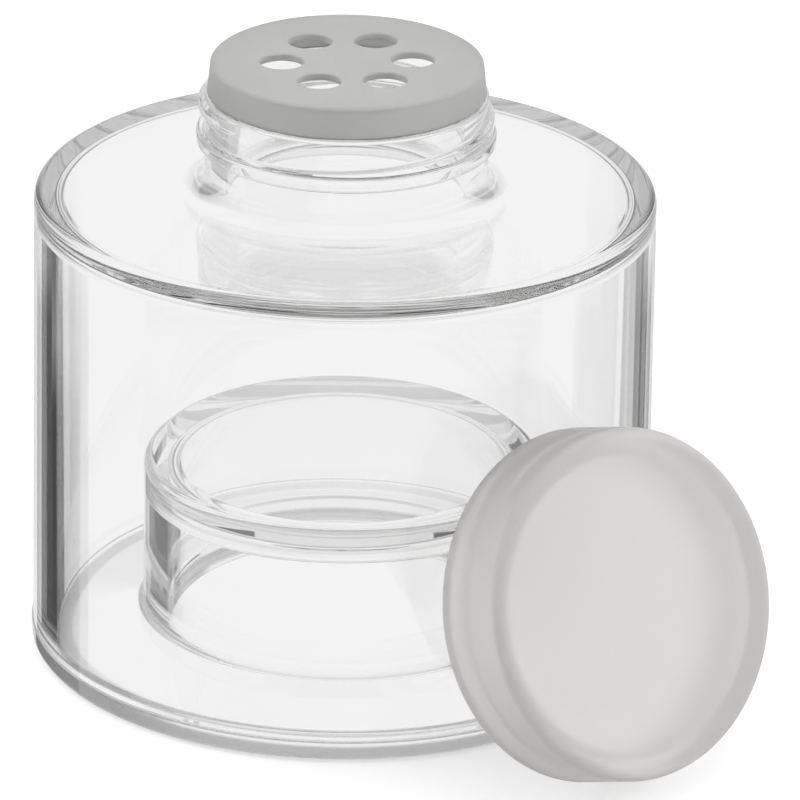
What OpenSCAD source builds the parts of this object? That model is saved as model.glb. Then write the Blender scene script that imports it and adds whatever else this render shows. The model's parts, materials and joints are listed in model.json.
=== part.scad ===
// Stacking spice jar: a clear jar, its welded base with a stacking pocket, a shaker insert
// and a screw cap that is taken off and leans against the jar.
// The jar stands on Z = 0 with its axis on Z. The viewer stands on the -Y side.

/* [Body] */
// Outside diameter at the shoulder
body_d = 80; // [60:0.5:110]
// Height of the shoulder above the table
shoulder_z = 62.4; // [45:0.2:100]
// Radius that the wall gains from the shoulder down to the base
body_draft = 0.3; // [0:0.05:1]
// Thickness of the side wall
body_wall = 2.7; // [2:0.1:5]
// Thickness of the shoulder plate
shoulder_t = 2.8; // [2:0.1:5]
// Radius of the outer edge between wall and shoulder
shoulder_edge_r = 1.3; // [0.5:0.1:2]
// Radius of the inside corner between wall and shoulder
inner_corner_r = 1.4; // [0.5:0.1:3]

/* [Neck] */
// Diameter at the root of the thread
neck_d = 36.5; // [30:0.1:44]
// Height of the thread's ridge over its root
thread_depth = 0.7; // [0.4:0.05:1.2]
// Thickness of the neck's wall at the root of the thread
neck_wall = 3.05; // [2.4:0.05:5]
// Radius of the flare where the neck leaves the shoulder
neck_flare_r = 2.9; // [0.5:0.1:4]
// Radius of the inside edge where the shoulder opens into the neck
mouth_corner_r = 5.6; // [1:0.1:6]
// Height of the plain neck below the bead
neck_plain_h = 6.4; // [4:0.1:12]
// Distance that the bead under the thread stands proud of the root
bead_step = 1; // [0.6:0.05:1.1]
// Height of the bead
bead_h = 1.9; // [1:0.1:4]
// Radius of the bead's edges
bead_edge_r = 0.5; // [0.1:0.05:0.8]
// Height of the threaded stretch, from the bead to the shaker's seat
thread_h = 4.8; // [3:0.1:10]
// Wall of the spigot that the shaker is pushed on to
spigot_wall = 1.4; // [0.8:0.1:2]
// Height of the spigot
spigot_h = 3; // [2:0.1:6]
// Radius of the small edges at the mouth and the seat
lip_edge_r = 0.4; // [0.1:0.05:0.6]

/* [Base] */
// Thickness of the base plate at its edge
base_t = 2.7; // [2:0.1:5]
// Distance that the base plate stands proud of the wall
base_lip = 0.15; // [0:0.05:1]
// Radius of the base plate's bottom edge
base_edge_r = 1; // [0.2:0.1:1.8]
// Height of the raised floor that centres the wall on the base
floor_step = 0.5; // [0.2:0.1:2]
// Height that the floor and its underside gain from the wall to the pocket's outside
floor_rise = 2.2; // [0.5:0.1:4]
// Clearance between the raised floor and the wall
floor_gap = 0.15; // [0.05:0.05:0.5]

/* [Stacking pocket] */
// Clearance around the cap of the jar below
pocket_gap = 0.4; // [0.2:0.1:3]
// Free height above the cap of the jar below
pocket_headroom = 2.9; // [1:0.1:8]
// Thickness of the pocket's wall
pocket_wall = 3.1; // [2:0.1:5]
// Thickness of the pocket's roof
pocket_roof_t = 3.5; // [2:0.1:5]
// Radius of the roof's outer edge
pocket_edge_r = 1.3; // [0.5:0.1:2.5]
// Radius of the corner inside the pocket
pocket_corner_r = 2; // [0.5:0.1:2.5]
// Radius of the fillet at the pocket's foot
pocket_foot_r = 1.8; // [0.5:0.1:3]

/* [Shaker] */
// Thickness of the perforated plate
plate_t = 1; // [0.8:0.1:3]
// Clearance between the plate and the end of the spigot
plate_gap = 0.2; // [0.1:0.05:0.5]
// Thickness of the skirt at its foot
skirt_wall = 1.15; // [0.8:0.05:2]
// Radius that the skirt loses from its foot to the plate
skirt_draft = 0.45; // [0:0.05:0.6]
// Clearance between the skirt and the spigot
skirt_gap = 0.15; // [0.05:0.05:0.4]
// Radius of the plate's outer edge
plate_edge_r = 0.45; // [0.2:0.05:0.9]
// Diameter of one shaker hole
hole_d = 5.6; // [3:0.1:7]
// Number of shaker holes
hole_count = 6; // [3:1:8]
// Radius of the circle that the holes lie on
hole_circle_r = 8.4; // [6:0.1:9.5]
// Turn of the first hole from +X
hole_turn = 5; // [0:1:60]

/* [Cap] */
// Clearance between the thread's crest and the cap's bore
cap_gap = 0.45; // [0.3:0.05:1]
// Thickness of the cap's skirt at its rim
cap_wall = 2.95; // [1.5:0.05:4]
// Radius that the skirt loses from its rim to the face
cap_draft = 0.2; // [0:0.05:0.5]
// Thickness of the cap's face
cap_face_t = 2.1; // [1.2:0.1:3]
// Clearance over the shaker when the rim is level with the top of the bead
cap_seat_gap = 0.1; // [0:0.05:0.5]
// Radius of the edge round the face
cap_edge_r = 1.6; // [0.5:0.1:1.8]
// Radius of the corner inside the cap
cap_corner_r = 0.8; // [0.3:0.1:2]
// Radius of the rim's edges
cap_rim_r = 0.5; // [0.1:0.05:0.7]

/* [Leaning cap] */
// Direction in which the cap's face looks, from +X
lean_azimuth = -50.6; // [-90:0.1:0]
// Angle that the face looks up from the level
lean_angle = 20.4; // [12:0.1:30]
// Gap between the cap's rim and the wall that it leans on
lean_gap = 0.3; // [0.1:0.05:1]

/* [Hidden] */
$fn = 96;

// Overlap that keeps added and cut shapes from sharing a face
over = 0.5;
// Depth of the foot fillet under the floor, so that the two cross
sink = 0.1;

// Radii
body_r = body_d / 2;
foot_r = body_r + body_draft;
neck_r = neck_d / 2;
thread_r = neck_r + thread_depth;
bead_r = neck_r + bead_step;
mouth_r = neck_r - neck_wall;
spigot_r = mouth_r + spigot_wall;
skirt_in_r = spigot_r + skirt_gap;
skirt_foot_r = skirt_in_r + skirt_wall;
skirt_top_r = skirt_foot_r - skirt_draft;
cap_in_r = thread_r + cap_gap;
cap_rim_out_r = cap_in_r + cap_wall;
cap_face_r = cap_rim_out_r - cap_draft;
pocket_r = cap_rim_out_r + pocket_gap;
pocket_out_r = pocket_r + pocket_wall;
floor_r = body_r - body_wall - floor_gap;

// Heights
bead_z = shoulder_z + neck_plain_h;
thread_z = bead_z + bead_h;
seat_z = thread_z + thread_h;
spigot_z = seat_z + spigot_h;
plate_z = spigot_z + plate_gap;
shaker_z = plate_z + plate_t;
cap_depth = shaker_z + cap_seat_gap - thread_z;
cap_h = cap_depth + cap_face_t;
floor_z = base_t + floor_step;
pocket_depth = thread_z + cap_h - shoulder_z + pocket_headroom;
pocket_top_z = pocket_depth + pocket_roof_t;

// Place of the leaning cap: its rim stands on the table and touches the wall at the top
rim_mid_r = cap_rim_out_r - cap_rim_r;
lean_z = rim_mid_r * cos(lean_angle) - cap_rim_r * sin(lean_angle) + cap_rim_r;
lean_top_z = lean_z + rim_mid_r * cos(lean_angle);
lean_reach = rim_mid_r * sin(lean_angle) - cap_rim_r * cos(lean_angle) + cap_rim_r;
lean_r = wall_r(lean_top_z) + lean_gap + lean_reach;

// Height of the sloping floor at a radius
function floor_at(r) = floor_z + under_at(r);

// Height of the underside at a radius, parallel to the floor
function under_at(r) = floor_rise * (floor_r - r) / (floor_r - pocket_out_r);

// Outside radius of the drafted wall at a height
function wall_r(z) = foot_r - body_draft * (z - base_t) / (shoulder_z - shoulder_edge_r - base_t);

// Rectangle in a half section, from one radius and height to another
module block(r0, z0, r1, z1) {
    translate([r0, z0]) square([r1 - r0, z1 - z0]);
}

// Waste outside a rounded corner at (r, z), out and up point from the corner into the air
module edge_waste(r, z, radius, out, up) {
    translate([r, z]) mirror([out < 0 ? 1 : 0, 0]) mirror([0, up < 0 ? 1 : 0])
        difference() {
            translate([-radius, -radius]) square(radius + over);
            translate([-radius, -radius]) circle(radius);
        }
}

// Fillet that fills an inside corner at (r, z), out and up point from the corner into the air
module corner_fill(r, z, radius, out, up) {
    translate([r, z]) mirror([out < 0 ? 1 : 0, 0]) mirror([0, up < 0 ? 1 : 0])
        difference() {
            translate([-over, -over]) square(radius + over);
            translate([radius, radius]) circle(radius);
        }
}

// Half section of the wall and the shoulder plate
module body_shell_section() {
    in_r = body_r - body_wall;
    under_z = shoulder_z - shoulder_t;
    straight_z = shoulder_z - shoulder_edge_r;
    difference() {
        polygon([
            [0, base_t],
            [foot_r, base_t],
            [body_r, straight_z],
            [body_r, shoulder_z],
            [0, shoulder_z]
        ]);
        difference() {
            block(-over, base_t - over, in_r, under_z);
            corner_fill(in_r, under_z, inner_corner_r, -1, -1);
        }
        edge_waste(body_r, shoulder_z, shoulder_edge_r, 1, 1);
    }
}

// Half section of the outside of the neck: flare, bead, threaded stretch, seat and spigot
module neck_section() {
    difference() {
        block(0, shoulder_z - over, neck_r, seat_z);
        edge_waste(neck_r, seat_z, lip_edge_r, 1, 1);
    }
    corner_fill(neck_r, shoulder_z, neck_flare_r, 1, 1);
    difference() {
        block(0, bead_z, bead_r, thread_z);
        edge_waste(bead_r, bead_z, bead_edge_r, 1, -1);
        edge_waste(bead_r, thread_z, bead_edge_r, 1, 1);
    }
    difference() {
        block(0, seat_z - over, spigot_r, spigot_z);
        edge_waste(spigot_r, spigot_z, lip_edge_r, 1, 1);
    }
}

// Clear jar, open below, with a closed shoulder and a neck
module jar_body() {
    color("whitesmoke", 0.35) rotate_extrude() difference() {
        union() {
            body_shell_section();
            neck_section();
        }
        block(-over, base_t - over, mouth_r, spigot_z + over);
        edge_waste(mouth_r, spigot_z, lip_edge_r, -1, 1);
        edge_waste(mouth_r, shoulder_z - shoulder_t, mouth_corner_r, -1, -1);
    }
}

// Clear base plate with a pocket that takes the neck and cap of the jar below
module jar_base() {
    plate_r = foot_r + base_lip;
    color("gainsboro", 0.5) rotate_extrude() difference() {
        union() {
            difference() {
                block(0, 0, plate_r, base_t);
                edge_waste(plate_r, 0, base_edge_r, 1, -1);
            }
            polygon([
                [0, base_t - over],
                [floor_r, base_t - over],
                [floor_r, floor_z],
                [pocket_out_r, floor_at(pocket_out_r)],
                [0, floor_at(pocket_out_r)]
            ]);
            corner_fill(pocket_out_r, floor_at(pocket_out_r + pocket_foot_r) - sink, pocket_foot_r, 1, 1);
            difference() {
                block(0, base_t - over, pocket_out_r, pocket_top_z);
                edge_waste(pocket_out_r, pocket_top_z, pocket_edge_r, 1, 1);
            }
        }
        difference() {
            block(-over, -over, pocket_r, pocket_depth);
            corner_fill(pocket_r, pocket_depth, pocket_corner_r, -1, -1);
        }
        polygon([
            [0, under_at(foot_r)],
            [foot_r, under_at(foot_r)],
            [pocket_r, under_at(pocket_r)],
            [0, under_at(pocket_r)]
        ]);
    }
}

// Shaker: an inverted cup that is pushed on to the spigot, with a ring of holes
module shaker_insert() {
    color("silver") difference() {
        rotate_extrude() difference() {
            polygon([
                [0, seat_z],
                [skirt_foot_r, seat_z],
                [skirt_top_r, shaker_z - plate_edge_r],
                [skirt_top_r, shaker_z],
                [0, shaker_z]
            ]);
            block(-over, seat_z - over, skirt_in_r, plate_z);
            edge_waste(skirt_top_r, shaker_z, plate_edge_r, 1, 1);
        }
        for (i = [0 : hole_count - 1])
            rotate([0, 0, hole_turn + i * 360 / hole_count])
                translate([hole_circle_r, 0, plate_z - over])
                    cylinder(d = hole_d, h = plate_t + 2 * over);
    }
}

// Cap in its own frame: rim down on Z = 0, face up
module cap_upright() {
    rotate_extrude() difference() {
        polygon([
            [0, 0],
            [cap_rim_out_r, 0],
            [cap_rim_out_r, cap_rim_r],
            [cap_face_r, cap_h - cap_edge_r],
            [cap_face_r, cap_h],
            [0, cap_h]
        ]);
        difference() {
            block(-over, -over, cap_in_r, cap_depth);
            corner_fill(cap_in_r, cap_depth, cap_corner_r, -1, -1);
        }
        edge_waste(cap_face_r, cap_h, cap_edge_r, 1, 1);
        edge_waste(cap_rim_out_r, 0, cap_rim_r, 1, -1);
        edge_waste(cap_in_r, 0, cap_rim_r, -1, -1);
    }
}

// Screw cap, standing on its rim and leaning back against the wall
module screw_cap() {
    color("lightgray") rotate([0, 0, lean_azimuth]) translate([lean_r, 0, lean_z])
        rotate([0, 90 - lean_angle, 0]) cap_upright();
}

jar_body();
jar_base();
shaker_insert();
screw_cap();
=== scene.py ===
# %% [markdown]
# A clear stacking spice jar. The real one is four mouldings: a thick clear body with a threaded neck,
# a clear base with a raised pocket that swallows the cap of the jar below, a grey shaker with six holes
# and a frosted screw cap, here taken off and leaning on the wall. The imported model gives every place
# and outer size, so this lesson only adds the surfaces, the finishes and the light.

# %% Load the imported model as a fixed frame
import json
import math

import bmesh
import bpy
from mathutils import Matrix, Vector


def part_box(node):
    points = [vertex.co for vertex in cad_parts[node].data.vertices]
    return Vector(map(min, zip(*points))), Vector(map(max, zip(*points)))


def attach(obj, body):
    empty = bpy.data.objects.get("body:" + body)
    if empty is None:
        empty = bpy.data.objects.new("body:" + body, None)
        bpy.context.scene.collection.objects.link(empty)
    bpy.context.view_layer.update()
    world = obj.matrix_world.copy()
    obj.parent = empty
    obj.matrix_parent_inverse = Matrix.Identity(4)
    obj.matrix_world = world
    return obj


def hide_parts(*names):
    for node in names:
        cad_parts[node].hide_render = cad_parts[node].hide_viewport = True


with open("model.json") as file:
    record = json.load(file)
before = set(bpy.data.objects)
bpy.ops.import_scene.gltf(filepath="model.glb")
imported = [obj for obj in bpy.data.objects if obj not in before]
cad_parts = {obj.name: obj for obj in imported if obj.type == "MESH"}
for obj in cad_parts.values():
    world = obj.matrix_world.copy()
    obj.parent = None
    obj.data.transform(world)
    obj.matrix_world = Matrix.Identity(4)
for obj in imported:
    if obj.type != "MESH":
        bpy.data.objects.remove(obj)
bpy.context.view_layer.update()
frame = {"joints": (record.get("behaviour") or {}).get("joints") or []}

MM = 0.001

# %% [markdown]
# The camera comes first, because every later choice is judged through it. It was fitted to the outlines
# of the body, the neck and the shaker: a long lens about a metre away, looking down by 23 degrees.
# The aim is turned a little instead of shifting the lens, so other views stay undistorted.

# %% Camera
EYE_DISTANCE = 958.5 * MM
EYE_ELEVATION = math.radians(23.09)
EYE_ROLL = math.radians(0.78)
AIM_POINT = Vector((0, 0, 30 * MM))
AIM_PIXEL = (342.5, 418.8)
FOCAL_PIXELS = 7366
IMAGE_PIXELS = 800
SENSOR_MM = 36


def make_camera():
    """Camera at the photograph's place, aimed so that AIM_POINT falls on AIM_PIXEL."""
    forward = Vector((0, math.cos(EYE_ELEVATION), -math.sin(EYE_ELEVATION)))
    level_right = Vector((1, 0, 0))
    level_up = level_right.cross(forward)
    right = level_right * math.cos(EYE_ROLL) + level_up * math.sin(EYE_ROLL)
    up = level_up * math.cos(EYE_ROLL) - level_right * math.sin(EYE_ROLL)
    middle = IMAGE_PIXELS / 2
    across = (middle - AIM_PIXEL[0]) / FOCAL_PIXELS
    above = (AIM_PIXEL[1] - middle) / FOCAL_PIXELS
    axis = (forward + right * across + up * above).normalized()
    side = (right - axis * right.dot(axis)).normalized()
    place = Matrix((side, side.cross(axis), -axis)).transposed().to_4x4()
    place.translation = AIM_POINT - forward * EYE_DISTANCE
    bpy.ops.object.camera_add()
    camera = bpy.context.object
    camera.name = "photo_camera"
    camera.matrix_world = place
    camera.data.sensor_width = SENSOR_MM
    camera.data.lens = FOCAL_PIXELS / IMAGE_PIXELS * SENSOR_MM
    bpy.context.scene.camera = camera
    return camera


bpy.ops.object.select_all(action="DESELECT")
camera = make_camera()
print("camera at", [round(c, 3) for c in camera.matrix_world.translation], "lens", round(camera.data.lens, 1))

# %% [markdown]
# Body, base, shaker and cap are all turned shapes, so one helper works like a lathe. It lays out a half
# section as a flat polygon, rounds its corners with vertex bevels, and spins the outline about the axis.
# A modifier could revolve it too, but the operator leaves plain mesh that the thread can be raised from.

# %% Lathe helper
TURN_STEPS = 256
CORNER_STEPS = 7
MERGE_DISTANCE = 0.002 * MM
SMOOTH_ANGLE = math.radians(40)


def select_in_edit(piece, wanted):
    """Select, in edit mode, the vertices for which wanted(place) holds."""
    bpy.ops.mesh.select_all(action="DESELECT")
    mesh = bmesh.from_edit_mesh(piece.data)
    for vertex in mesh.verts:
        vertex.select = wanted(vertex.co)
    mesh.select_flush(True)
    bmesh.update_edit_mesh(piece.data)


def draw_section(name, corners):
    """Flat half section from corners of (radius, height, rounding), in metres, left in edit mode."""
    bpy.ops.object.select_all(action="DESELECT")
    bpy.ops.mesh.primitive_circle_add(vertices=len(corners), fill_type="NGON")
    section = bpy.context.object
    section.name = name
    section.data.name = name
    for vertex, (radius, height, _) in zip(section.data.vertices, corners):
        vertex.co = (radius, 0, height)
    bpy.ops.object.mode_set(mode="EDIT")
    bpy.ops.mesh.select_mode(type="VERT")
    for radius, height, rounding in corners:
        if rounding > 0:
            corner = Vector((radius, 0, height))
            select_in_edit(section, lambda place: (place - corner).length < MERGE_DISTANCE)
            bpy.ops.mesh.bevel(
                offset_type="OFFSET", offset=rounding, segments=CORNER_STEPS, affect="VERTICES")
    return section


def cut_rows(section, radius, low, high, rows):
    """Divide the upright edge at a radius, between two heights, into rows."""
    tall = (high - low) / 2
    middle = (high + low) / 2
    on_edge = lambda place: abs(place.x - radius) < MERGE_DISTANCE and abs(place.z - middle) < tall
    select_in_edit(section, on_edge)
    bpy.ops.mesh.subdivide(number_cuts=rows)


def spin_section(section):
    """Spin the section's outline about Z and close the seam and the pole."""
    bpy.ops.mesh.select_all(action="SELECT")
    bpy.ops.mesh.delete(type="ONLY_FACE")
    on_axis = lambda place: abs(place.x) < MERGE_DISTANCE
    select_in_edit(section, on_axis)
    bpy.ops.mesh.select_mode(type="EDGE")
    bpy.ops.mesh.delete(type="EDGE")
    bpy.ops.mesh.select_mode(type="VERT")
    bpy.ops.mesh.select_all(action="SELECT")
    bpy.ops.mesh.spin(steps=TURN_STEPS, angle=2 * math.pi, center=(0, 0, 0), axis=(0, 0, 1))
    bpy.ops.mesh.select_all(action="SELECT")
    bpy.ops.mesh.remove_doubles(threshold=MERGE_DISTANCE)
    bpy.ops.mesh.normals_make_consistent(inside=False)
    bpy.ops.object.mode_set(mode="OBJECT")
    return section


def smooth_finish(piece):
    """Smooth shading that keeps flat faces flat between rounded edges."""
    bpy.ops.object.select_all(action="DESELECT")
    piece.select_set(True)
    bpy.context.view_layer.objects.active = piece
    bpy.ops.object.shade_smooth_by_angle(angle=SMOOTH_ANGLE)
    weighted = piece.modifiers.new("face_weighted_normals", "WEIGHTED_NORMAL")
    weighted.keep_sharp = True
    bpy.ops.object.modifier_apply(modifier=weighted.name)
    print(piece.name, "faces", len(piece.data.polygons))


def put_in_place(piece, body, node):
    """The finished piece rides on its body and stands for its node."""
    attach(piece, body)
    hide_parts(node)


# %% [markdown]
# The body is injection moulded over a core that leaves downwards, so the shoulder is closed and the lower
# end is open. Heights and outer radii come from the frame. The wall, the shoulder plate and the small
# roundings can't be read off a box, so they are named here. The inside edge where the shoulder opens into
# the neck is widely rounded, so that no hard ring shows through the front. A hair's gap is left at the
# weld, because the real seam shows as a bright line.

# %% Body sizes
body_low, body_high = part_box("jar_body")
foot_r = body_high.x
weld_z = body_low.z
spigot_z = body_high.z
SEAM_GAP = 0.03 * MM
DRAFT = 0.3 * MM
WALL = 2.7 * MM
SHOULDER_Z = 62.4 * MM
SHOULDER_T = 2.8 * MM
SHOULDER_EDGE = 1.3 * MM
INNER_CORNER = 1.4 * MM
MOUTH_CORNER = 5.6 * MM
NECK_R = 18.25 * MM
NECK_FLARE = 2.9 * MM
BEAD_Z = 68.8 * MM
BEAD_H = 1.9 * MM
BEAD_R = 19.25 * MM
SEAT_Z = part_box("shaker_insert")[0].z
MOUTH_R = 15.2 * MM
SPIGOT_R = 16.6 * MM
LIP_EDGE = 0.4 * MM
BEAD_EDGE = 0.5 * MM
FINE_EDGE = 0.2 * MM
body_r = foot_r - DRAFT
inner_r = body_r - WALL
thread_low = BEAD_Z + BEAD_H
print("body radius", round(body_r / MM, 2), "weld at", round(weld_z / MM, 2))

# %% [markdown]
# The thread is one ridge that climbs out of the bead, runs a little over one turn and fades out under
# the shaker. A screw modifier could sweep it, but then it has to be joined to the neck. Here the neck is
# cut into fine rows first, and the points near the helix are pushed outwards, so body and thread stay
# one closed wall, which clear plastic needs to bend light rightly.

# %% Thread helper
THREAD_PITCH = 4.8 * MM
THREAD_RISE = 0.7 * MM
THREAD_HALF = 0.95 * MM
THREAD_FLANK = 0.55 * MM
THREAD_FRONT_Z = 70.55 * MM
FRONT_ANGLE = math.radians(270)
THREAD_START = math.radians(200)
THREAD_END = math.radians(583)
THREAD_FADE = math.radians(28)
THREAD_ROWS = 44


def ease(share):
    """Smooth step from 0 to 1."""
    share = min(max(share, 0.0), 1.0)
    return share * share * (3 - 2 * share)


def ridge_at(angle, height, front_z):
    """Share of the thread's full height at a place, where the ridge passes the front at front_z."""
    best = 0.0
    for turn in (0, 1, 2):
        along = angle + 2 * math.pi * turn
        centre = front_z + THREAD_PITCH * (along - FRONT_ANGLE) / (2 * math.pi)
        flank = ease((THREAD_HALF + THREAD_FLANK / 2 - abs(height - centre)) / THREAD_FLANK)
        fade = ease((along - THREAD_START) / THREAD_FADE) * ease((THREAD_END - along) / THREAD_FADE)
        best = max(best, flank * fade)
    return best


def raise_thread(piece, root_r, rise, low, high, front_z):
    """Push the points of a fine cylinder out, or in where rise is negative, along the thread."""
    moved = 0
    for vertex in piece.data.vertices:
        radius = math.hypot(vertex.co.x, vertex.co.y)
        if abs(radius - root_r) > MERGE_DISTANCE * 5 or not low < vertex.co.z < high:
            continue
        share = ridge_at(math.atan2(vertex.co.y, vertex.co.x) % (2 * math.pi), vertex.co.z, front_z)
        scale = 1 + rise * share / root_r
        vertex.co.x *= scale
        vertex.co.y *= scale
        moved += share > 0
    print(piece.name, "thread points", moved)


# %% [markdown]
# With the sizes named, the body's half section is a list of corners, walked from the foot up the outside
# and down the inside. A drawn curve could be revolved instead, but the list keeps every corner beside its
# rounding, and the neck's upright edge can be cut into rows before it is spun.

# %% Turn the body
body = draw_section("clear_body", [
    (foot_r, weld_z + SEAM_GAP, FINE_EDGE),
    (body_r, SHOULDER_Z, SHOULDER_EDGE),
    (NECK_R, SHOULDER_Z, NECK_FLARE),
    (NECK_R, BEAD_Z, FINE_EDGE),
    (BEAD_R, BEAD_Z, BEAD_EDGE),
    (BEAD_R, thread_low, BEAD_EDGE),
    (NECK_R, thread_low, FINE_EDGE),
    (NECK_R, SEAT_Z, LIP_EDGE),
    (SPIGOT_R, SEAT_Z, FINE_EDGE),
    (SPIGOT_R, spigot_z, LIP_EDGE),
    (MOUTH_R, spigot_z, LIP_EDGE),
    (MOUTH_R, SHOULDER_Z - SHOULDER_T, MOUTH_CORNER),
    (inner_r, SHOULDER_Z - SHOULDER_T, INNER_CORNER),
    (inner_r, weld_z + SEAM_GAP, FINE_EDGE),
])
cut_rows(body, NECK_R, thread_low, SEAT_Z, THREAD_ROWS)
spin_section(body)
raise_thread(body, NECK_R, THREAD_RISE, thread_low, SEAT_Z - LIP_EDGE, THREAD_FRONT_Z)
smooth_finish(body)

# %% [markdown]
# The base is a plate with a hollow plateau. Its pocket is as wide and deep as the closed neck of an equal
# jar. The floor and its underside rise a little from the wall to the plateau, and the floor meets the
# fillet at the plateau's foot in a fine crease. It is turned in the same way, with the roof reaching the
# axis, where the points merge to one pole.

# %% Turn the base
plate_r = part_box("jar_base")[1].x
roof_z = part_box("jar_base")[1].z
POCKET_R = 22.75 * MM
POCKET_WALL = 3.1 * MM
ROOF_T = 3.5 * MM
FLOOR_STEP = 0.5 * MM
FLOOR_RISE = 2.2 * MM
FLOOR_GAP = 0.15 * MM
BASE_EDGE = 1.0 * MM
ROOF_EDGE = 1.3 * MM
POCKET_CORNER = 2.0 * MM
POCKET_FOOT = 1.8 * MM
FOOT_SINK = 0.1 * MM
FOOT_CREASE = math.radians(33)
FLOOR_EDGE = 0.4 * MM
floor_z = weld_z + FLOOR_STEP
floor_r = inner_r - FLOOR_GAP
pocket_out_r = POCKET_R + POCKET_WALL


def slope_at(radius):
    """Height that the sloping floor and its underside have gained at a radius."""
    return FLOOR_RISE * (floor_r - radius) / (floor_r - pocket_out_r)


def foot_fillet():
    """Points of the concave fillet, from its crease with the floor up to the plateau's wall."""
    middle_r = pocket_out_r + POCKET_FOOT
    middle_z = floor_z + slope_at(middle_r) - FOOT_SINK + POCKET_FOOT
    points = []
    for step in range(CORNER_STEPS + 1):
        turn = FOOT_CREASE + (math.pi / 2 - FOOT_CREASE) * step / CORNER_STEPS
        points.append((middle_r - POCKET_FOOT * math.sin(turn), middle_z - POCKET_FOOT * math.cos(turn), 0))
    return points


base = draw_section("clear_base", [
    (POCKET_R, slope_at(POCKET_R), FINE_EDGE),
    (floor_r, 0, 0),
    (plate_r, 0, BASE_EDGE),
    (plate_r, weld_z, FINE_EDGE),
    (floor_r, weld_z, 0),
    (floor_r, floor_z, FLOOR_EDGE),
    *foot_fillet(),
    (pocket_out_r, roof_z, ROOF_EDGE),
    (0, roof_z, 0),
    (0, roof_z - ROOF_T, 0),
    (POCKET_R, roof_z - ROOF_T, POCKET_CORNER),
])
spin_section(base)
smooth_finish(base)

# %% [markdown]
# The shaker is a thin inverted cup pushed over the spigot. The holes are punched with a Boolean, and each
# punch is flared at both ends, so the hole comes out with the soft edge of a moulded part.

# %% Turn and punch the shaker
shaker_low, shaker_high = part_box("shaker_insert")
skirt_r = shaker_high.x
shaker_z = shaker_high.z
SKIRT_DRAFT = 0.45 * MM
SKIRT_WALL = 1.15 * MM
PLATE_T = 1.0 * MM
PLATE_EDGE = 0.45 * MM
SKIRT_EDGE = 0.35 * MM
HOLE_R = 2.8 * MM
HOLE_CIRCLE_R = 8.4 * MM
HOLE_COUNT = 6
HOLE_TURN = math.radians(5)
HOLE_FLARE = 0.16 * MM
PUNCH_STEPS = 48
FLARE_STEPS = 4
PUNCH_SPARE = 1.0 * MM
plate_z = shaker_z - PLATE_T
shaker = draw_section("grey_shaker", [
    (skirt_r, SEAT_Z, SKIRT_EDGE),
    (skirt_r - SKIRT_DRAFT, shaker_z, PLATE_EDGE),
    (0, shaker_z, 0),
    (0, plate_z, 0),
    (skirt_r - SKIRT_WALL, plate_z, FINE_EDGE),
    (skirt_r - SKIRT_WALL, SEAT_Z, FINE_EDGE),
])
spin_section(shaker)


def flare_at(height):
    """Radius of a punch at a height: it opens in a quarter round at each face of the plate."""
    inside = min(max(min(shaker_z - height, height - plate_z), 0), HOLE_FLARE)
    return HOLE_R + HOLE_FLARE - math.sqrt(HOLE_FLARE ** 2 - (HOLE_FLARE - inside) ** 2)


def make_punch(angle):
    """One hole's punch: a drum, cut into rings that flare out at the plate's two faces."""
    bpy.ops.object.select_all(action="DESELECT")
    middle_z = (plate_z + shaker_z) / 2
    centre = Vector((HOLE_CIRCLE_R * math.cos(angle), HOLE_CIRCLE_R * math.sin(angle), middle_z))
    depth = PLATE_T + 2 * PUNCH_SPARE
    bpy.ops.mesh.primitive_cylinder_add(vertices=PUNCH_STEPS, radius=HOLE_R, depth=depth, location=centre)
    punch = bpy.context.object
    bpy.ops.object.transform_apply(location=True, rotation=True, scale=True)
    bpy.ops.object.mode_set(mode="EDIT")
    for step in range(FLARE_STEPS + 1):
        inside = HOLE_FLARE * (1 - math.cos(math.pi / 2 * step / FLARE_STEPS))
        for height in (shaker_z - inside, plate_z + inside):
            bpy.ops.mesh.select_all(action="SELECT")
            bpy.ops.mesh.bisect(plane_co=(0, 0, height), plane_no=(0, 0, 1))
    bpy.ops.object.mode_set(mode="OBJECT")
    for vertex in punch.data.vertices:
        scale = flare_at(vertex.co.z) / HOLE_R
        vertex.co.x = centre.x + (vertex.co.x - centre.x) * scale
        vertex.co.y = centre.y + (vertex.co.y - centre.y) * scale
    return punch


punches = []
for index in range(HOLE_COUNT):
    punches.append(make_punch(HOLE_TURN + 2 * math.pi * index / HOLE_COUNT))
bpy.ops.object.select_all(action="DESELECT")
for punch in punches:
    punch.select_set(True)
bpy.context.view_layer.objects.active = punches[0]
bpy.ops.object.join()
punch = bpy.context.object
cut = shaker.modifiers.new("punch_holes", "BOOLEAN")
cut.operation = "DIFFERENCE"
cut.solver = "EXACT"
cut.object = punch
bpy.context.view_layer.objects.active = shaker
bpy.ops.object.modifier_apply(modifier=cut.name)
bpy.data.objects.remove(punch)
smooth_finish(shaker)

# %% [markdown]
# The cap is a frosted moulding with a smooth skirt. It is turned upright, with its rim at zero, gets its
# own inner thread, and is then tipped into the place where it leans. It could be turned in place, but a
# lathe works best about Z. The lean comes from the joint that lifts the cap off along its own axis.

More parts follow.
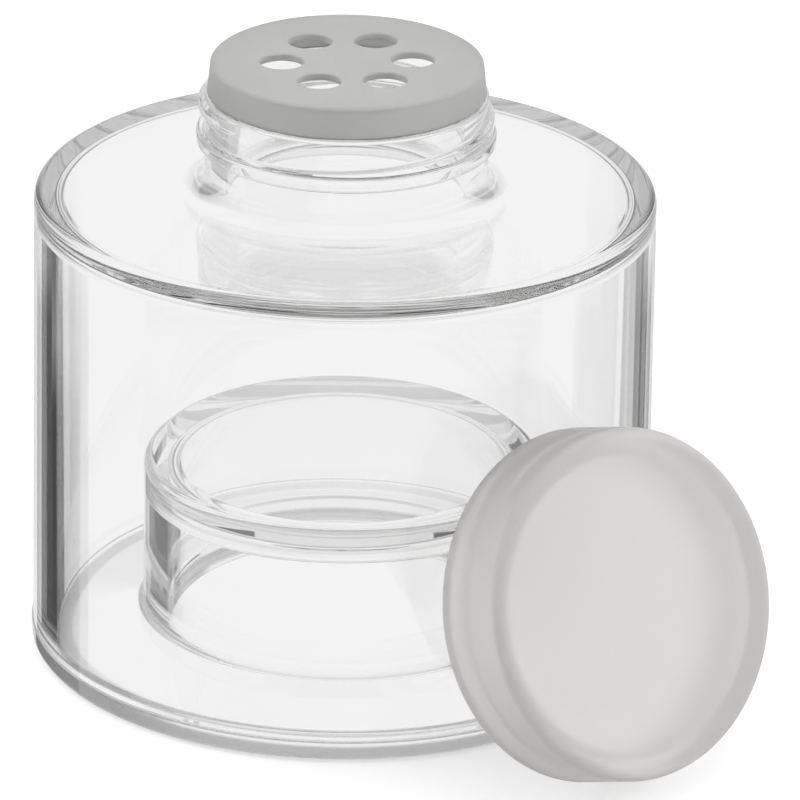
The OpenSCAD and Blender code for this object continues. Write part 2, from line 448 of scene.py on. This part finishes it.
# %% Turn the cap and lean it on the wall
CAP_RIM_R = 22.35 * MM
CAP_BORE_R = 19.4 * MM
CAP_DRAFT = 0.2 * MM
CAP_DEPTH = 9.1 * MM
CAP_FACE_T = 2.1 * MM
CAP_EDGE = 1.6 * MM
CAP_CORNER = 0.8 * MM
CAP_RIM_EDGE = 0.5 * MM
CAP_THREAD_RISE = 0.55 * MM
CAP_THREAD_FRONT_Z = 1.9 * MM
LEAN_GAP = 0.3 * MM
cap_h = CAP_DEPTH + CAP_FACE_T
lift_axis = Vector(next(j for j in frame["joints"] if j["name"] == "cap_lift")["axis"]).normalized()
cap = draw_section("frosted_cap", [
    (CAP_BORE_R, 0, CAP_RIM_EDGE),
    (CAP_RIM_R, 0, CAP_RIM_EDGE),
    (CAP_RIM_R - CAP_DRAFT, cap_h, CAP_EDGE),
    (0, cap_h, 0),
    (0, CAP_DEPTH, 0),
    (CAP_BORE_R, CAP_DEPTH, CAP_CORNER),
])
cut_rows(cap, CAP_BORE_R, 0, CAP_DEPTH, THREAD_ROWS)
spin_section(cap)
raise_thread(cap, CAP_BORE_R, -CAP_THREAD_RISE, CAP_RIM_EDGE, CAP_DEPTH - CAP_CORNER, CAP_THREAD_FRONT_Z)
lean = math.asin(lift_axis.z)
azimuth = math.atan2(lift_axis.y, lift_axis.x)
middle_r = CAP_RIM_R - CAP_RIM_EDGE
lean_z = middle_r * math.cos(lean) - CAP_RIM_EDGE * math.sin(lean) + CAP_RIM_EDGE
top_z = lean_z + middle_r * math.cos(lean)
wall_r = foot_r - DRAFT * (top_z - weld_z) / (SHOULDER_Z - SHOULDER_EDGE - weld_z)
lean_r = wall_r + LEAN_GAP + middle_r * math.sin(lean) - CAP_RIM_EDGE * math.cos(lean) + CAP_RIM_EDGE
stand = Matrix.Rotation(azimuth, 4, "Z") @ Matrix.Translation((lean_r, 0, lean_z))
cap.matrix_world = stand @ Matrix.Rotation(math.pi / 2 - lean, 4, "Y")
bpy.ops.object.select_all(action="DESELECT")
cap.select_set(True)
bpy.context.view_layer.objects.active = cap
bpy.ops.object.transform_apply(location=True, rotation=True, scale=True)
smooth_finish(cap)

# %% [markdown]
# Each piece now rides on a body of the imported model, so that the joints carry it: the shaker lifts off the
# neck and the cap comes away from the wall. Parenting by hand would do for one pose, but the helper also
# hides the plain solid that the piece stands for.

# %% Seat the pieces on their bodies
put_in_place(body, "jar", "jar_body")
put_in_place(base, "jar", "jar_base")
put_in_place(shaker, "shaker", "shaker_insert")
put_in_place(cap, "cap", "screw_cap")
print("seated", [piece.name for piece in (body, base, shaker, cap)])

# %% [markdown]
# Every moulding has a slightly uneven skin. Each finish is a Principled shader whose colour and roughness
# drift with noise on Object coordinates, so the grain stays with the piece when it moves. Painted textures
# could do this too, but they need unwrapping, and a turned piece has a seam.

# %% Material helpers
NOISE_LOW, NOISE_HIGH = 0.3, 0.7


def new_finish(name):
    """Material with its Principled shader, and a noise on Object coordinates."""
    finish = bpy.data.materials.new(name)
    finish.use_nodes = True
    nodes = finish.node_tree.nodes
    shader = nodes["Principled BSDF"]
    place = nodes.new("ShaderNodeTexCoord")
    return finish, nodes, finish.node_tree.links, shader, place


def add_noise(nodes, links, place, per_metre, detail):
    """Noise of a given fineness."""
    noise = nodes.new("ShaderNodeTexNoise")
    noise.inputs["Scale"].default_value = per_metre
    noise.inputs["Detail"].default_value = detail
    links.new(place.outputs["Object"], noise.inputs["Vector"])
    return noise.outputs["Fac"]


def spread(nodes, links, source, low, high):
    """Map the usual span of a noise to a range."""
    ramp = nodes.new("ShaderNodeMapRange")
    ramp.inputs["From Min"].default_value = NOISE_LOW
    ramp.inputs["From Max"].default_value = NOISE_HIGH
    ramp.inputs["To Min"].default_value = low
    ramp.inputs["To Max"].default_value = high
    links.new(source, ramp.inputs["Value"])
    return ramp.outputs["Result"]


def add_bump(nodes, links, source, strength, distance, shader):
    """Bump from a height."""
    bump = nodes.new("ShaderNodeBump")
    bump.inputs["Strength"].default_value = strength
    bump.inputs["Distance"].default_value = distance
    links.new(source, bump.inputs["Height"])
    links.new(bump.outputs["Normal"], shader.inputs["Normal"])


def tint(nodes, links, source, dark, pale, shader):
    """Base colour that drifts between two tones."""
    mix = nodes.new("ShaderNodeMix")
    mix.data_type = "RGBA"
    mix.inputs["A"].default_value = (*dark, 1)
    mix.inputs["B"].default_value = (*pale, 1)
    links.new(source, mix.inputs["Factor"])
    links.new(mix.outputs["Result"], shader.inputs["Base Color"])


# %% [markdown]
# The rubbed foot of the jar and the room around it are patterns with soft edges. A colour ramp could draw
# them, but a smooth climb between two values, and a band made of two such climbs, say plainly where each
# edge lies.

# %% Node helpers
def node_math(nodes, links, operation, first, second):
    """Math node on two inputs, each a socket or a number."""
    node = nodes.new("ShaderNodeMath")
    node.operation = operation
    for socket, value in zip(node.inputs, (first, second)):
        if isinstance(value, (int, float)):
            socket.default_value = value
        else:
            links.new(value, socket)
    return node.outputs[0]


def rise(nodes, links, value, low, high, start=0.0, end=1.0):
    """Smooth climb from start to end between low and high."""
    ramp = nodes.new("ShaderNodeMapRange")
    ramp.interpolation_type = "SMOOTHSTEP"
    for name, number in (("From Min", low), ("From Max", high), ("To Min", start), ("To Max", end)):
        ramp.inputs[name].default_value = number
    links.new(value, ramp.inputs["Value"])
    return ramp.outputs["Result"]


def band(nodes, links, value, low, high, soft):
    """1 between low and high, 0 outside, with soft edges."""
    climb = rise(nodes, links, value, low - soft / 2, low + soft / 2)
    fall = rise(nodes, links, value, high - soft / 2, high + soft / 2, 1.0, 0.0)
    return node_math(nodes, links, "MULTIPLY", climb, fall)


# %% [markdown]
# Clear plastic takes a little from light that runs a long way inside it, so deep edges look grey and thin
# walls stay clear. A darker surface colour would dim both alike, so the loss is given to the volume.

# %% Light lost in the depth of a plastic
DEPTH_COLOUR = (0.02, 0.01, 0.0, 1)


def add_depth(nodes, links, per_metre):
    """Let the plastic swallow a little light on a long way through."""
    depth = nodes.new("ShaderNodeVolumeAbsorption")
    depth.inputs["Color"].default_value = DEPTH_COLOUR
    depth.inputs["Density"].default_value = per_metre
    links.new(depth.outputs[0], nodes["Material Output"].inputs["Volume"])


# %% [markdown]
# The body and the base are polished, with only a trace of unevenness from the mould. The foot slides on
# tables and is rubbed matt, which gives the grey band along the bottom edge. Bump could roughen it, but a
# roughness that fades out just above the foot blurs the light more evenly.

# %% Clear plastic
CLEAR_IOR = 1.54
CLEAR_TONES = ((0.985, 0.988, 0.985), (1.0, 1.0, 1.0))
CLEAR_DRIFT = 60
POLISH = (0.0, 0.02)
DEPTH_TINT = 4.0
FOOT_HAZE = 0.6 * MM
FOOT_ROUGH = 0.5


def clear_plastic():
    """Polished clear plastic, rubbed at its foot."""
    finish, nodes, links, shader, place = new_finish("clear_plastic")
    shader.inputs["IOR"].default_value = CLEAR_IOR
    shader.inputs["Transmission Weight"].default_value = 1.0
    drift = add_noise(nodes, links, place, CLEAR_DRIFT, 2)
    tint(nodes, links, drift, *CLEAR_TONES, shader)
    split = nodes.new("ShaderNodeSeparateXYZ")
    links.new(place.outputs["Object"], split.inputs[0])
    rubbed = rise(nodes, links, split.outputs["Z"], FOOT_HAZE / 2, FOOT_HAZE, FOOT_ROUGH, 0.0)
    polish = spread(nodes, links, drift, *POLISH)
    links.new(node_math(nodes, links, "MAXIMUM", rubbed, polish), shader.inputs["Roughness"])
    add_depth(nodes, links, DEPTH_TINT)
    return finish


# %% [markdown]
# The shaker and the cap are satin mouldings that let some light through: the cap glows where its face is
# thin, and the shaker's inside is lit through its plate. A plain matt shader would look like card, so a
# share of rough transmission is mixed in, and the surface gets a fine grain.

# %% Grey satin plastics
SATIN_IOR = 1.46
SATIN_DRIFT = 90
GRAIN_SCALE = 2600
GRAIN_BUMP = 0.15
GRAIN_DEPTH = 0.02 * MM
ROUGH_SWING = 0.05
SOFT_DEPTH = 2 * MM


def satin_plastic(name, dark, pale, rough, soft, clear, depth):
    """Satin plastic with a fine grain: soft is its share of scattered light, clear of light let through."""
    finish, nodes, links, shader, place = new_finish(name)
    drift = add_noise(nodes, links, place, SATIN_DRIFT, 3)
    tint(nodes, links, drift, dark, pale, shader)
    grain = add_noise(nodes, links, place, GRAIN_SCALE, 2)
    satin = spread(nodes, links, grain, rough - ROUGH_SWING, rough + ROUGH_SWING)
    links.new(satin, shader.inputs["Roughness"])
    add_bump(nodes, links, grain, GRAIN_BUMP, GRAIN_DEPTH, shader)
    shader.inputs["Subsurface Weight"].default_value = soft
    shader.inputs["Subsurface Radius"].default_value = (1, 1, 1)
    shader.inputs["Subsurface Scale"].default_value = SOFT_DEPTH
    shader.inputs["Transmission Weight"].default_value = clear
    shader.inputs["IOR"].default_value = SATIN_IOR
    if depth > 0:
        add_depth(nodes, links, depth)
    return finish


def wear(piece, finish):
    """Give a piece one finish."""
    piece.data.materials.clear()
    piece.data.materials.append(finish)


# %% Dress the pieces
SHAKER_TONES = ((0.71, 0.71, 0.70), (0.75, 0.75, 0.74))
CAP_TONES = ((0.975, 0.96, 0.955), (0.99, 0.975, 0.97))
clear = clear_plastic()
wear(body, clear)
wear(base, clear)
wear(shaker, satin_plastic("shaker_satin", *SHAKER_TONES, rough=0.5, soft=0.3, clear=0.55, depth=0))
wear(cap, satin_plastic("cap_frost", *CAP_TONES, rough=0.46, soft=0.0, clear=0.66, depth=16))
print("materials", [m.name for m in bpy.data.materials])

# %% [markdown]
# The stage is a white table in a pale room. Clear plastic shows nothing but what stands around it, so it
# looks past the table into the room, as on a photographer's glass table. More light would whiten the table
# too, but it would bleach the jar, so the table gets a lift that only the camera sees and keeps its shadow.

# %% Table
FLOOR_SIZE = 6.0
FLOOR_DROP = 0.25 * MM
FLOOR_TONE = 0.62
FLOOR_LIFT = 0.54


def make_floor():
    """White table that keeps the jar's shadow."""
    bpy.ops.object.select_all(action="DESELECT")
    bpy.ops.mesh.primitive_plane_add(size=FLOOR_SIZE, location=(0, 0, -FLOOR_DROP))
    floor = bpy.context.object
    floor.name = "table"
    paper = bpy.data.materials.new("white_paper")
    paper.use_nodes = True
    nodes, links = paper.node_tree.nodes, paper.node_tree.links
    nodes.clear()
    matte = nodes.new("ShaderNodeBsdfDiffuse")
    matte.inputs["Color"].default_value = (FLOOR_TONE, FLOOR_TONE, FLOOR_TONE, 1)
    path = nodes.new("ShaderNodeLightPath")
    glow = nodes.new("ShaderNodeEmission")
    lift = node_math(nodes, links, "MULTIPLY", path.outputs["Is Camera Ray"], FLOOR_LIFT)
    links.new(lift, glow.inputs["Strength"])
    lit = nodes.new("ShaderNodeAddShader")
    links.new(matte.outputs[0], lit.inputs[0])
    links.new(glow.outputs[0], lit.inputs[1])
    out = nodes.new("ShaderNodeOutputMaterial")
    links.new(lit.outputs[0], out.inputs["Surface"])
    wear(floor, paper)
    floor.visible_transmission = False
    floor.visible_glossy = False


make_floor()
print("table", FLOOR_SIZE, "m wide")

# %% [markdown]
# A photographer draws the edges of clear things with dark cards. Here the cards are strips in the world,
# seen only through or off the plastic: each has a left and right turn, a low and high tilt, a darkness and
# a softness, with angles in degrees. Real planes could stand there, but they would shade the jar as well.

# %% Room
TABLE_WHITE = (0.5, 0.93)
TABLE_SPAN = (math.radians(-78), math.radians(-36))
SKY_GREY = 0.66
SKY_SPAN = (math.radians(1), math.radians(5), math.radians(17), math.radians(20.5))
LIGHT_SPAN = (-0.1, 0.7)
LIGHT_RANGE = (0.36, 0.8)
DARK_STRIPS = (
    (-42, -20.7, -26.4, -21.8, 0.94, 0.8),
    (-42, -20.7, -28.6, -26, 0.56, 0.8),
    (-66, -41.5, -28.6, -22.5, 0.93, 0.8),
    (-62, -20.5, -22, -18.8, 0.36, 0.8),
    (-80, -21, -11, 24, 0.5, 4),
    (19, 30, -26.2, -21.8, 0.92, 0.8),
    (30, 36, -26.2, -21.8, 0.72, 0.8),
    (36, 42, -26.2, -21.8, 0.4, 0.8),
    (19, 60, -11, 16, 0.3, 4),
)


def make_world():
    """Pale room: white to the camera, soft light from above, dark strips for the clear plastic."""
    world = bpy.context.scene.world or bpy.data.worlds.new("room")
    bpy.context.scene.world = world
    world.use_nodes = True
    nodes, links = world.node_tree.nodes, world.node_tree.links
    nodes.clear()
    place = nodes.new("ShaderNodeTexCoord")
    split = nodes.new("ShaderNodeSeparateXYZ")
    links.new(place.outputs["Generated"], split.inputs[0])
    height = node_math(nodes, links, "ARCSINE", split.outputs["Z"], 0)
    turn = node_math(nodes, links, "ARCTAN2", split.outputs["X"], split.outputs["Y"])
    shown = None
    for left, right, low, high, dark, soft in DARK_STRIPS:
        wide = band(nodes, links, turn, math.radians(left), math.radians(right), math.radians(soft))
        tall = band(nodes, links, height, math.radians(low), math.radians(high), math.radians(soft))
        strip = node_math(nodes, links, "MULTIPLY", wide, tall)
        kept = node_math(nodes, links, "SUBTRACT", 1, node_math(nodes, links, "MULTIPLY", strip, dark))
        shown = kept if shown is None else node_math(nodes, links, "MINIMUM", shown, kept)
    table = rise(nodes, links, height, *TABLE_SPAN, *TABLE_WHITE)
    dusk = rise(nodes, links, height, SKY_SPAN[0], SKY_SPAN[1], 1.0, SKY_GREY)
    bright = rise(nodes, links, height, SKY_SPAN[2], SKY_SPAN[3], 0.0, 1.0)
    sky = node_math(nodes, links, "MAXIMUM", dusk, bright)
    shown = node_math(nodes, links, "MULTIPLY", node_math(nodes, links, "MULTIPLY", shown, table), sky)
    lighting = rise(nodes, links, split.outputs["Z"], *LIGHT_SPAN, *LIGHT_RANGE)
    path = nodes.new("ShaderNodeLightPath")
    bent, mirrored = path.outputs["Is Transmission Ray"], path.outputs["Is Glossy Ray"]
    through = node_math(nodes, links, "MAXIMUM", bent, mirrored)
    choose = nodes.new("ShaderNodeMix")
    choose.data_type = "FLOAT"
    links.new(through, choose.inputs["Factor"])
    links.new(lighting, choose.inputs["A"])
    links.new(shown, choose.inputs["B"])
    strength = node_math(nodes, links, "MAXIMUM", choose.outputs["Result"], path.outputs["Is Camera Ray"])
    room = nodes.new("ShaderNodeBackground")
    room.inputs["Color"].default_value = (1, 1, 1, 1)
    links.new(strength, room.inputs["Strength"])
    out = nodes.new("ShaderNodeOutputWorld")
    links.new(room.outputs[0], out.inputs["Surface"])


make_world()
print("room with", len(DARK_STRIPS), "dark strips")

# %% [markdown]
# Three soft lamps light the grey mouldings: one above and one at each side, the right one stronger. One
# large lamp would be simpler, but separate ones let each side of the shaker's skirt be balanced. They
# stay out of the plastic's reflections, which the room already draws.

# %% Lamps
def make_softbox(name, place, aim, size, power):
    """Area lamp aimed at a point, kept out of the plastic's reflections."""
    bpy.ops.object.select_all(action="DESELECT")
    bpy.ops.object.light_add(type="AREA", location=place)
    lamp = bpy.context.object
    lamp.name = name
    lamp.data.size = size
    lamp.data.energy = power
    lamp.visible_glossy = False
    lamp.visible_transmission = False
    lamp.rotation_euler = (Vector(aim) - Vector(place)).to_track_quat("-Z", "Y").to_euler()


make_softbox("top_softbox", (0, -0.1, 1.1), (0, 0, 0.03), 0.8, 2.0)
make_softbox("left_softbox", (-0.9, 0.1, 0.45), (0, 0, 0.04), 0.6, 3.4)
make_softbox("right_softbox", (0.95, -0.1, 0.45), (0, 0, 0.04), 0.6, 4.6)
print("lamps", [lamp.name for lamp in bpy.data.lights])

# %% [markdown]
# Light in thick clear plastic is thrown back and forth many times before it leaves, and where the count of
# bounces runs out the plastic turns black, so the count is raised well above the usual one.

# %% Colour management and bounces
BOUNCES = 160
scene = bpy.context.scene
scene.view_settings.view_transform = "Standard"
scene.cycles.max_bounces = BOUNCES
scene.cycles.transmission_bounces = BOUNCES
scene.cycles.glossy_bounces = BOUNCES
bpy.context.view_layer.update()
